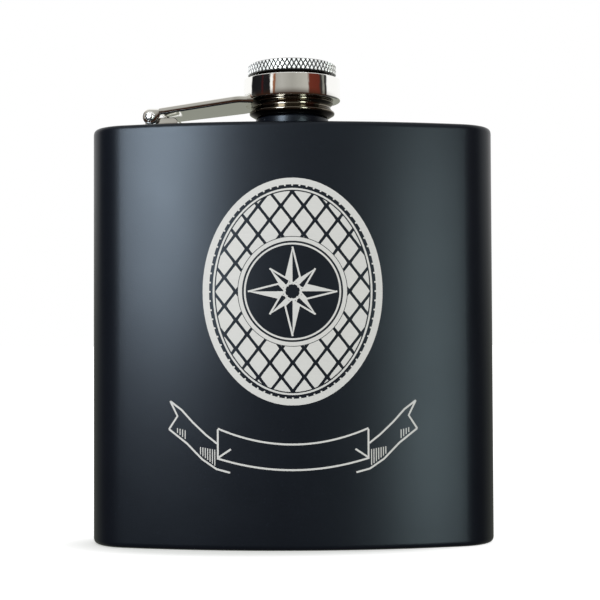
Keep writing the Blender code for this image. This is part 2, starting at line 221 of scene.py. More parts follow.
class Finish:
    """Builds one node tree: the finish of a piece, or the studio round it."""

    def __init__(self, tree):
        self.tree = tree

    def node(self, kind, settings=None, inputs=None, output=0):
        node = self.tree.nodes.new(kind)
        for name, value in (settings or {}).items():
            if name == "stops":
                self.set_stops(node.color_ramp, value)
            else:
                setattr(node, name, value)
        for name, value in (inputs or {}).items():
            self.feed(node.inputs[name], value)
        return Value(self.tree, node.outputs[output])

    def feed(self, socket, value):
        if isinstance(value, Value):
            self.tree.links.new(value.socket, socket)
        else:
            socket.default_value = value

    def set_stops(self, ramp, stops):
        while len(ramp.elements) < len(stops):
            ramp.elements.new(1.0)
        for element, (place, colour) in zip(ramp.elements, stops):
            element.position = place
            element.color = (*colour, 1.0)

    def place(self):
        return self.node("ShaderNodeTexCoord", output="Object")

    def stretched(self, scale):
        return self.node("ShaderNodeMapping", inputs={"Vector": self.place(), "Scale": scale})

    def noise(self, scale, detail=2.0, roughness=0.5, vector=None):
        sockets = {"Scale": scale, "Detail": detail, "Roughness": roughness}
        sockets["Vector"] = vector or self.place()
        return self.node("ShaderNodeTexNoise", inputs=sockets)

    def between(self, value, low, high):
        """0 below low, 1 above high, smooth between."""
        return self.node(
            "ShaderNodeMapRange",
            {"interpolation_type": "SMOOTHSTEP"},
            {"Value": value, "From Min": low, "From Max": high},
        )

    def blend(self, factor, first, second):
        return self.node(
            "ShaderNodeMix",
            {"data_type": "RGBA"},
            {0: factor, 6: first, 7: second},
            output=2,
        )

    def bump(self, height, distance, strength):
        sockets = {"Height": height, "Distance": distance, "Strength": strength}
        return self.node("ShaderNodeBump", inputs=sockets)


def new_finish(name):
    material = bpy.data.materials.new(name)
    material.use_nodes = True
    shader = material.node_tree.nodes["Principled BSDF"]
    return material, Finish(material.node_tree), shader


def tinted(colour, factor):
    return (*(min(1.0, channel * factor) for channel in colour), 1.0)


def powder_coat(colour):
    """Matte black powder coat: a fine pebbled grain with faint clouding and a few pale specks."""
    material, finish, shader = new_finish("powder_coat")
    grain = finish.noise(3600, 2.0, 0.6)
    cloud = finish.noise(90, 3.0)
    specks = finish.between(finish.noise(2100, 1.0), 0.70, 0.78)
    shade = grain * 0.7 + cloud * 0.3
    coat = finish.blend(shade, tinted(colour, 0.7), tinted(colour, 1.35))
    coat = finish.blend(specks * 0.5, coat, tinted(colour, 4.0))
    finish.feed(shader.inputs["Base Color"], coat)
    finish.feed(shader.inputs["Roughness"], 0.25 + grain * 0.09 + cloud * 0.04)
    shader.inputs["Specular IOR Level"].default_value = 0.22
    shader.inputs["Specular Tint"].default_value = (0.80, 0.90, 1.0, 1.0)
    finish.feed(shader.inputs["Normal"], finish.bump(grain, 0.03 * MM, 0.35))
    return material


def polished_chrome(colour):
    """Mirror chrome with faint handling smudges and hairlines."""
    material, finish, shader = new_finish("polished_chrome")
    smudge = finish.noise(160, 4.0, 0.6)
    hairline = finish.noise(900, 2.0, 0.5, finish.stretched((1.0, 1.0, 9.0)))
    metal = finish.blend(smudge, tinted(colour, 0.94), tinted(colour, 1.04))
    finish.feed(shader.inputs["Base Color"], metal)
    shader.inputs["Metallic"].default_value = 1.0
    finish.feed(shader.inputs["Roughness"], 0.03 + finish.between(smudge, 0.45, 0.8) * 0.10)
    finish.feed(shader.inputs["Normal"], finish.bump(hairline, 0.004 * MM, 0.25))
    return material


def knurled_chrome(colour):
    """Bright satin on the knurl's diamonds, with painted shade: near-black in the grooves between
    them.
    """
    material, finish, shader = new_finish("knurled_chrome")
    centre = (CAP_AXIS.x, CAP_AXIS.y, 0)
    away = finish.node(
        "ShaderNodeVectorMath", {"operation": "SUBTRACT"}, {0: finish.place(), 1: centre}
    )
    flat = finish.node(
        "ShaderNodeVectorMath", {"operation": "MULTIPLY"}, {0: away, 1: (1, 1, 0)}
    )
    radius = finish.node("ShaderNodeVectorMath", {"operation": "LENGTH"}, {0: flat}, output=1)
    foot = (CROWN_HIGH.x - CROWN_LOW.x) / 2 - 0.25 * MM
    raised = finish.between(radius, foot + 0.06 * MM, foot + 0.25 * MM)
    speck = finish.noise(1900, 2.0)
    worn = finish.blend(speck, tinted(colour, 0.90), tinted(colour, 1.02))
    # The grooves get a near-black base colour: painted shade.
    finish.feed(shader.inputs["Base Color"], finish.blend(raised, tinted(colour, 0.02), worn))
    shader.inputs["Metallic"].default_value = 0.65
    finish.feed(shader.inputs["Roughness"], 0.24 + speck * 0.16)
    finish.feed(shader.inputs["Normal"], finish.bump(speck, 0.02 * MM, 0.3))
    return material


def shaded_chrome(colour):
    """Darkened chrome whose dark colour is painted shade, with faint turning marks."""
    material, finish, shader = new_finish("shaded_chrome")
    marks = finish.noise(700, 3.0, 0.5, finish.stretched((1.0, 1.0, 7.0)))
    finish.feed(
        shader.inputs["Base Color"], finish.blend(marks, tinted(colour, 0.85), tinted(colour, 1.15))
    )
    shader.inputs["Metallic"].default_value = 1.0
    finish.feed(shader.inputs["Roughness"], 0.10 + marks * 0.08)
    finish.feed(shader.inputs["Normal"], finish.bump(marks, 0.005 * MM, 0.3))
    return material


def turned_steel(colour):
    """Bright steel of the rivet, with fine turning rings."""
    material, finish, shader = new_finish("rivet_steel")
    rings = finish.noise(1500, 2.0, 0.5, finish.stretched((1.0, 6.0, 1.0)))
    metal = finish.blend(rings, tinted(colour, 0.8), tinted(colour, 1.1))
    finish.feed(shader.inputs["Base Color"], metal)
    shader.inputs["Metallic"].default_value = 1.0
    finish.feed(shader.inputs["Roughness"], 0.14 + rings * 0.12)
    finish.feed(shader.inputs["Normal"], finish.bump(rings, 0.01 * MM, 0.3))
    return material


def etched_steel(colour):
    """Pale matte steel left by the laser, in fine scanned rows."""
    material, finish, shader = new_finish("etched_steel")
    rows = finish.noise(700, 1.0, 0.5, finish.stretched((0.6, 0.6, 9.0)))
    grain = finish.noise(4200, 2.0, 0.6)
    tone = rows * 0.5 + grain * 0.5
    metal = finish.blend(tone, tinted(colour, 0.88), tinted(colour, 1.10))
    finish.feed(shader.inputs["Base Color"], metal)
    shader.inputs["Metallic"].default_value = 0.15
    finish.feed(shader.inputs["Roughness"], 0.55 + grain * 0.15)
    finish.feed(shader.inputs["Normal"], finish.bump(tone, 0.02 * MM, 0.3))
    return material


def milky_silicone(colour):
    """The seal's soft silicone, slightly cloudy."""
    material, finish, shader = new_finish("milky_silicone")
    cloud = finish.noise(400, 3.0)
    finish.feed(
        shader.inputs["Base Color"],
        finish.blend(cloud, tinted(colour, 0.9), tinted(colour, 1.05)),
    )
    finish.feed(shader.inputs["Roughness"], 0.42 + cloud * 0.15)
    shader.inputs["Subsurface Weight"].default_value = 0.15
    shader.inputs["Subsurface Radius"].default_value = (1 * MM, 1 * MM, 1 * MM)
    finish.feed(shader.inputs["Normal"], finish.bump(cloud, 0.02 * MM, 0.3))
    return material


FINISHES = {
    "black_coating": (powder_coat, "coat"),
    "polished_chrome": (polished_chrome, "chrome"),
    "knurled_chrome": (knurled_chrome, "chrome"),
    "sleeve_painted_shade": (shaded_chrome, "sleeve_shade_tone"),
    "painted_gap_shade": (shaded_chrome, "gap_shade_colour"),
    "bare_steel": (turned_steel, "chrome"),
    "etched_steel": (etched_steel, "engraving"),
    "seal_silicone": (milky_silicone, "seal"),
}
MADE_FINISHES = {}


def finish_named(name):
    if name not in MADE_FINISHES:
        make, colour = FINISHES[name]
        MADE_FINISHES[name] = make(getattr(bpy.context.scene.flask_colours, colour))
    return MADE_FINISHES[name]


def mesh_object(name, shape):
    """An object made from a bmesh, which is freed."""
    mesh = bpy.data.meshes.new(name)
    shape.to_mesh(mesh)
    shape.free()
    obj = bpy.data.objects.new(name, mesh)
    bpy.context.scene.collection.objects.link(obj)
    return obj


def applied(obj):
    """The same object with its modifiers applied to its mesh."""
    graph = bpy.context.evaluated_depsgraph_get()
    mesh = bpy.data.meshes.new_from_object(obj.evaluated_get(graph))
    obj.modifiers.clear()
    obj.data = mesh
    return obj


def dress(obj, body, slot, finish=None, nodes=(), sharp=32):
    """Gives a finished piece its finish, its smooth shading and its body."""
    obj.data.materials.clear()
    obj.data.materials.append(finish_named(finish or slot))
    obj.data.shade_smooth()
    obj.data.set_sharp_from_angle(angle=math.radians(sharp))
    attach(obj, body)
    if nodes:
        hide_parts(*nodes)
    return obj


def tidy(shape):
    bmesh.ops.remove_doubles(shape, verts=shape.verts, dist=0.002 * MM)
    bmesh.ops.recalc_face_normals(shape, faces=shape.faces)


def chain(shape, points):
    """A run of joined edges through the points."""
    verts = [shape.verts.new(point) for point in points]
    return verts, [shape.edges.new(pair) for pair in zip(verts, verts[1:])]


def rounded(corners, segments=4):
    """A (radius, height) profile whose corners, given as (radius, height, rounding), are arcs."""
    points = []
    for index, (r, z, rounding) in enumerate(corners):
        here = Vector((r, z))
        if rounding == 0 or index in (0, len(corners) - 1):
            points.append(here)
            continue
        before = (Vector(corners[index - 1][:2]) - here).normalized()
        after = (Vector(corners[index + 1][:2]) - here).normalized()
        for step in range(segments + 1):
            share = step / segments
            start = here + before * rounding * (1 - share) ** 2
            points.append(start + after * rounding * share**2)
    return points


def lathed(name, corners, steps=96, axis=CAP_AXIS, closed=True):
    """Turns a profile of (radius, height above the axis' foot, rounding), in millimetres."""
    points = rounded([(r * MM, z * MM, k * MM) for r, z, k in corners])
    if closed:
        points.append(points[0])
    shape = bmesh.new()
    verts, edges = chain(shape, [axis + Vector((p.x, 0, p.y)) for p in points])
    bmesh.ops.spin(
        shape, geom=verts + edges, cent=axis, axis=UP, angle=FULL_TURN, steps=steps, use_merge=True
    )
    tidy(shape)
    return mesh_object(name, shape)


def slab(name, outline, half_width, bevel):
    """A side outline of (x, z) in the arm's frame, extruded across its width and bevelled."""
    shape = bmesh.new()
    verts = [shape.verts.new((x, -half_width, z)) for x, z in outline]
    face = shape.faces.new(verts)
    grown = bmesh.ops.extrude_face_region(shape, geom=[face])["geom"]
    moved = [item for item in grown if isinstance(item, bmesh.types.BMVert)]
    bmesh.ops.translate(shape, verts=moved, vec=(0, 2 * half_width, 0))
    bmesh.ops.recalc_face_normals(shape, faces=shape.faces)
    sharp = [e for e in shape.edges if e.calc_face_angle(0) > math.radians(40)]
    if bevel:
        bmesh.ops.bevel(
            shape, geom=sharp, offset=bevel, segments=3, affect="EDGES", profile=0.5, material=-1
        )
    return mesh_object(name, shape)


def in_place(obj):
    """Moves a piece from the arm's frame into the flask's, in its mesh."""
    obj.data.transform(ARM_FRAME)
    obj.data.update()
    return obj


def joined(name, parts):
    """One object that holds the meshes of several, which are removed."""
    shape = bmesh.new()
    for part in parts:
        shape.from_mesh(part.data)
        bpy.data.objects.remove(part)
    return mesh_object(name, shape)


def cut(obj, cutter, operation="DIFFERENCE"):
    """Cuts an object with another, which is removed."""
    boolean = obj.modifiers.new("cut", "BOOLEAN")
    boolean.operation = operation
    boolean.solver = "EXACT"
    boolean.object = cutter
    applied(obj)
    bpy.data.objects.remove(cutter)
    return obj


def drill(radius, depth, matrix, segments=64):
    shape = bmesh.new()
    bmesh.ops.create_cone(
        shape, cap_ends=True, segments=segments, radius1=radius, radius2=radius,
        depth=depth, matrix=matrix,
    )
    return mesh_object("drill", shape)


def arc_points(centre, radius, start, end, steps):
    turns = [math.radians(start + (end - start) * i / steps) for i in range(steps + 1)]
    return [(centre[0] + radius * math.cos(a), centre[1] + radius * math.sin(a)) for a in turns]


class BodyPlan:
    """The kidney-shaped plan: where the bend's centre and the half-round ends lie."""

    def __init__(self, sizes):
        self.half = sizes.thickness / 2
        self.middle_radius = sizes.front_radius - self.half
        self.front_radius = sizes.front_radius
        self.centre = Vector((0, SHOULDER_LOW.y + sizes.front_radius, 0))
        reach = SHOULDER_HIGH.x - self.half
        self.end_angle = math.asin(reach / self.middle_radius)

    def end(self, side):
        """The vertical axis of one half-round end; side is 1 on the right."""
        angle = side * self.end_angle
        away = Vector((math.sin(angle), -math.cos(angle), 0))
        return self.centre + away * self.middle_radius, away


class FLASK_OT_body(bpy.types.Operator):
    """Builds the coated body as one seamless shell with its neck hole"""

    bl_idname = "flask.body"
    bl_label = "Coated body"

    def execute(self, context):
        sizes = context.scene.flask_sizes
        plan = BodyPlan(sizes)
        edge = sizes.edge_radius / MM
        half = plan.half / MM
        top = SHOULDER_Z / MM
        corners = [(0, top, 0), (half, top, edge), (half, 0, edge)]
        corners += [(half - edge - 2.4, 0, 0.3), (half - edge - 3.0, 0.6, 0.3), (0, 0.6, 0)]
        profile = rounded([(s * MM, z * MM, k * MM) for s, z, k in corners], 8)
        shape = bmesh.new()
        right, right_away = plan.end(1)
        left, left_away = plan.end(-1)
        runs = [
            (right, right_away, right, math.pi, 32),
            (right, right_away, plan.centre, -2 * plan.end_angle, 48),
            (right, -right_away, plan.centre, -2 * plan.end_angle, 48),
            (left, left_away, left, -math.pi, 32),
        ]
        for foot, away, axis, angle, steps in runs:
            verts, edges = chain(shape, [foot + away * p.x + UP * p.y for p in profile])
            bmesh.ops.spin(
                shape, geom=verts + edges, cent=axis, axis=UP, angle=angle, steps=steps
            )
        tidy(shape)
        shell = mesh_object("coated_body", shape)
        wall = shell.modifiers.new("wall", "SOLIDIFY")
        wall.thickness = 0.6 * MM
        wall.offset = -1
        applied(shell)
        hole = Matrix.Translation(CAP_AXIS)
        cut(shell, drill(7.3 * MM, 6 * MM, hole))
        nodes = ("body_wrap", "shoulder_plate", "base_plate")
        dress(shell, "flask", "black_coating", nodes=nodes, sharp=50)
        return {"FINISHED"}


class FLASK_OT_neck(bpy.types.Operator):
    """Builds the neck: a turned tube with its collar, and the thread's ridge"""

    bl_idname = "flask.neck"
    bl_label = "Threaded neck"

    def execute(self, context):
        top = (NECK_HIGH.z - SHOULDER_Z) / MM
        tube = lathed(
            "neck_tube",
            [
                (6.5, top, 0),
                (NECK_RADIUS, top, 0.3),
                (NECK_RADIUS, 1.7, 0.1),
                (8.55, 1.7, 0.35),
                (8.55, 0.02, 0.1),
                (NECK_RADIUS, 0.02, 0),
                (NECK_RADIUS, -2.0, 0.2),
                (NECK_BORE_RADIUS, -2.0, 0.2),
                (NECK_BORE_RADIUS, top, 0.3),
            ],
        )
        dress(tube, "flask", "black_coating", nodes=["neck_spout"])
        steps_a_turn = 96
        start = 2.8
        steps = int((top - 1.1 - start) / THREAD_PITCH * steps_a_turn)
        section = [(6.7, -0.55), (7.6, -0.18), (7.6, 0.18), (6.7, 0.55)]
        shape = bmesh.new()
        foot = CAP_AXIS + UP * start * MM
        face = shape.faces.new([shape.verts.new(foot + Vector((r, 0, z)) * MM) for r, z in section])
        bmesh.ops.spin(
            shape, geom=[face, *face.edges, *face.verts], cent=CAP_AXIS, axis=UP,
            dvec=(0, 0, THREAD_PITCH / steps_a_turn * MM), angle=FULL_TURN * steps / steps_a_turn,
            steps=steps,
        )
        bmesh.ops.recalc_face_normals(shape, faces=shape.faces)
        dress(mesh_object("neck_thread", shape), "flask", "black_coating")
        return {"FINISHED"}


class FLASK_OT_cap(bpy.types.Operator):
    """Builds what turns in the ring: the flared core, the knurled crown and the seal"""

    bl_idname = "flask.cap"
    bl_label = "Knurled cap"

    def knurl(self, radius, low, high, count):
        """A sleeve of raised diamonds, turned down to the crown's chamfered outline."""
        shape = bmesh.new()
        cell = 1.85 * MM
        rows = 3
        foot = (low + high - rows * cell) / 2
        circle = bmesh.ops.create_circle(
            shape, segments=count, radius=radius, matrix=Matrix.Translation(CAP_AXIS + UP * foot)
        )
        edges = list({edge for vert in circle["verts"] for edge in vert.link_edges})
        for _ in range(rows):
            grown = bmesh.ops.extrude_edge_only(shape, edges=edges)["geom"]
            edges = [item for item in grown if isinstance(item, bmesh.types.BMEdge)]
            verts = [item for item in grown if isinstance(item, bmesh.types.BMVert)]
            bmesh.ops.translate(shape, verts=verts, vec=UP * cell)
        sides = [edge for edge in shape.edges if not edge.is_boundary]
        poked = bmesh.ops.poke(shape, faces=shape.faces)["verts"]
        for vert in poked:
            away = (vert.co - CAP_AXIS).to_2d().normalized() * radius
            vert.co.x, vert.co.y = CAP_AXIS.x + away.x, CAP_AXIS.y + away.y
        bmesh.ops.dissolve_edges(shape, edges=sides, use_verts=False)
        bmesh.ops.recalc_face_normals(shape, faces=shape.faces)
        bmesh.ops.inset_individual(
            shape, faces=shape.faces, thickness=0.27 * MM, depth=0.3 * MM, use_even_offset=True
        )
        rims = [edge for edge in shape.edges if edge.is_boundary]
        grown = bmesh.ops.extrude_edge_only(shape, edges=rims)["geom"]
        inner = [item for item in grown if isinstance(item, bmesh.types.BMEdge)]
        verts = [item for item in grown if isinstance(item, bmesh.types.BMVert)]
        slim = 1 - 0.7 * MM / radius
        bmesh.ops.scale(
            shape, verts=verts, vec=(slim, slim, 1), space=Matrix.Translation(-CAP_AXIS)
        )
        bmesh.ops.bridge_loops(shape, edges=inner)
        bmesh.ops.recalc_face_normals(shape, faces=shape.faces)
        sleeve = mesh_object("crown_knurl", shape)
        wide, top, bottom = radius / MM + 0.3, high / MM, low / MM
        outline = [
            (wide - 1.1, top - 0.16, 0),
            (wide - 0.7, top - 0.18, 0),
            (wide, top - 0.5, 0),
            (wide, bottom + 0.4, 0),
            (wide - 0.5, bottom + 0.05, 0),
            (wide - 1.1, bottom + 0.05, 0),
        ]
        return cut(sleeve, lathed("turning", outline), "INTERSECT")

    def execute(self, context):
        top = (CROWN_HIGH.z - SHOULDER_Z) / MM
        radius = (CROWN_HIGH.x - CROWN_LOW.x) / 2 / MM
        bottom = top - CROWN_SKIRT
        crown = lathed(
            "crown",
            [
                (0, top, 0),
                (radius - 2.6, top, 1.5),
                (radius - 0.75, top - 0.14, 0.12),
                (radius - 0.35, top - 0.36, 0.1),
                (radius - 0.35, bottom + 0.1, 0.1),
                (9.4, bottom, 0.05),
                (SLEEVE_BORE, bottom, 0),
                (SLEEVE_BORE, top - 1.6, 0.1),
                (0, top - 1.6, 0),
            ],
            closed=False,
        )
        # A near-black flare that fills the gap under the crown: painted shade.
        flare = lathed(
            "crown_flare",
            [
                (9.3, bottom + 0.3, 0),
                (9.85, bottom + 0.3, 0),
                (9.85, bottom - 0.05, 0.1),
                (9.6, bottom - 0.85, 0.1),
                (9.6, 7.4, 0.08),
                (9.3, 7.4, 0.08),
            ],
        )
        dress(flare, "cap", "polished_chrome", finish="painted_gap_shade", sharp=40)
        dress(crown, "cap", "polished_chrome", nodes=["knurled_crown"], sharp=40)
        knurl = self.knurl(
            (radius - 0.25) * MM, bottom * MM, top * MM, context.scene.flask_sizes.knurls
        )
        dress(knurl, "cap", "polished_chrome", finish="knurled_chrome", sharp=12)
        ceiling = (SEAL_HIGH.z - SHOULDER_Z) / MM + 0.3
        core = lathed(
            "cap_sleeve",
            [
                (0, ceiling + 0.75, 0),
                (8.99, ceiling + 0.75, 0.3),
                (8.99, 5.6, 0.08),
                (9.75, 5.6, 0.1),
                (9.72, 5.3, 0.1),
                (8.6, 4.35, 1.2),
                (10.0, 3.3, 0.12),
                (10.06, 3.05, 0.12),
                (9.95, 2.75, 0.12),
                (8.64, 2.0, 0.15),
                (8.29, 2.0, 0.1),
                (8.29, ceiling, 0.1),
                (0, ceiling, 0),
            ],
            closed=False,
        )
        # The sleeve's dark bronze tone is painted shade under the ring.
        dress(
            core, "cap", "polished_chrome", finish="sleeve_painted_shade", nodes=["cap_core"], sharp=40
        )
        low = (SEAL_LOW.z - SHOULDER_Z) / MM
        seal = lathed(
            "seal_disc",
            [
                (0, low + 1.3, 0),
                (8.0, low + 1.3, 0.15),
                (8.0, low, 0.25),
                (6.6, low, 0.1),
                (6.2, low + 0.15, 0.1),
                (0, low + 0.15, 0),
            ],
            closed=False,
        )
        dress(seal, "cap", "seal_silicone", nodes=["cap_seal"])
        return {"FINISHED"}


class FLASK_OT_arm(bpy.types.Operator):
    """Builds the captive arm: its ring, the tapered strip and the two ears"""

    bl_idname = "flask.arm"
    bl_label = "Captive arm"

    def strip(self, sizes):
        """The strip: straight from the pin, and swept up where it meets the ring's wall."""
        reach = ARM_REACH / MM
        start, end = 2.15, reach
        low_start = PIN_RISE / MM + EAR_RADIUS - STRIP_THICKNESS
        low_end = RING_BOTTOM - STRIP_BELOW_RING
        meet = reach - RING_RADIUS
        shape = bmesh.new()
        bmesh.ops.create_grid(shape, x_segments=60, y_segments=24, size=1)
        for vert in shape.verts:
            x = start + (end - start) * (vert.co.x + 1) / 2
            share = (x - start) / (meet - start)
            width = sizes.arm_width_at_hinge * (1 - share) + sizes.arm_width_at_ring * share
            width *= 1 - 0.20 * max(0, min(1, (share - 0.92) / 0.24)) ** 1.4
            vert.co = (x * MM, vert.co.y * width / 2, 0)
        grown = bmesh.ops.extrude_face_region(shape, geom=list(shape.faces), use_keep_orig=True)
        raised = [item for item in grown["geom"] if isinstance(item, bmesh.types.BMVert)]
        bmesh.ops.translate(shape, verts=raised, vec=UP * STRIP_THICKNESS * MM)
        axis = Vector((reach, 0)) * MM
        for vert in raised:
            near = 1 - ((vert.co.to_2d() - axis).length / MM - RING_RADIUS) / 1.3
            vert.co.z += 0.9 * MM * max(0, min(1, near)) ** 2.5
        bmesh.ops.recalc_face_normals(shape, faces=shape.faces)
        for side, size in ((1, 0.22), (-1, 0.5)):
            sharp = [
                edge
                for edge in shape.edges
                if edge.calc_face_angle(0) > math.radians(60)
                and all((vert.co.z / MM - STRIP_THICKNESS / 2) * side > 0 for vert in edge.verts)
            ]
            bmesh.ops.bevel(
                shape, geom=sharp, offset=size * MM, segments=4, affect="EDGES", profile=0.5,
                material=-1,
            )
        for vert in shape.verts:
            share = min((vert.co.x / MM - start) / (meet - start), 1)
            vert.co.z += (low_start + (low_end - low_start) * share) * MM
        room = drill(RING_ROOM_RADIUS * MM, 30 * MM, Matrix.Translation((ARM_REACH, 0, 0)), 96)
        return cut(mesh_object("strip", shape), room)

    def ear(self, side, sizes):
        radius = EAR_RADIUS
        outline = arc_points((0, 0), radius, 90, 270, 24)
        outline += arc_points((0, 0), radius, -90, -30, 8)[1:]
        outline += [(2.7, radius - 0.9), (2.7, radius - 0.1)]
        points = [(x * MM, (z + PIN_RISE / MM) * MM) for x, z in outline]
        obj = slab("ear", points, EAR_THICKNESS / 2 * MM, 0.42 * MM)
        across = side * (sizes.arm_width_at_hinge / 2 - EAR_INSET * MM)
        obj.data.transform(Matrix.Translation((0, across, 0)))
        return obj

    def execute(self, context):
        sizes = context.scene.flask_sizes
        top, bottom = RING_TOP, RING_BOTTOM
        ring = lathed(
            "ring",
            [
                (10.84, top, 0),
                (11.39, top, 0.25),
                (11.39, bottom, 0.35),
                (SLEEVE_BORE, bottom, 0.15),
                (SLEEVE_BORE, bottom + 1.2, 0.15),
                (10.29, bottom + 1.2, 0.1),
                (10.29, top, 0.12),
            ],
            steps=128,
        )
        hinged = [self.strip(sizes), self.ear(-1, sizes), self.ear(1, sizes)]
        arm = joined("captive_arm_ring", [ring, *(in_place(part) for part in hinged)])
        dress(arm, "arm", "polished_chrome", nodes=["captive_arm"], sharp=35)
        return {"FINISHED"}


class FLASK_OT_hinge(bpy.types.Operator):
    """Builds the hinge: the welded bracket and its riveted pin"""

    bl_idname = "flask.hinge"
    bl_label = "Hinge"

    def execute(self, context):
        rise = PIN_RISE / MM
        foot = 0.02 - rise
        tail_top = EAR_RADIUS - STRIP_THICKNESS - BRACKET_TO_ARM
        nose = (tail_top - foot) / 2
        start = math.degrees(math.asin(tail_top / KNUCKLE_RADIUS))
        outline = [(-KNUCKLE_RADIUS, foot + nose), (-1.7, foot), (BRACKET_TAIL - 0.3, foot)]
        outline += arc_points((BRACKET_TAIL - nose, tail_top - nose), nose, -60, 90, 12)
        outline += arc_points((0, 0), KNUCKLE_RADIUS, start, 180, 28)
        points = [(x * MM, (z + rise) * MM) for x, z in outline]
        wide = context.scene.flask_sizes.arm_width_at_hinge / 2
        bracket = slab("bracket", points, wide - BRACKET_INSET * MM, 0.18 * MM)
        across = Matrix.Translation((0, 0, rise * MM)) @ Matrix.Rotation(math.pi / 2, 4, "X")
        cut(bracket, drill(0.9 * MM, 20 * MM, across, 32))
        dress(in_place(bracket), "flask", "polished_chrome", nodes=["hinge_bracket"], sharp=35)
        end = wide / MM
        pin = lathed(
            "rivet",
            [
                (0, end + RIVET_RISE, 0),
                (0.9, end + RIVET_RISE, 0.6),
                (1.15, end + 0.02, 0.1),
                (0.75, end, 0),
                (0.75, -end, 0),
                (1.15, -end - 0.02, 0.1),
                (0.9, -end - RIVET_RISE, 0.6),
                (0, -end - RIVET_RISE, 0),
            ],
            steps=40, axis=Vector((0, 0, 0)), closed=False,
        )
        pin.data.transform(across)
        dress(in_place(pin), "flask", "bare_steel", nodes=["hinge_pin"])
        return {"FINISHED"}


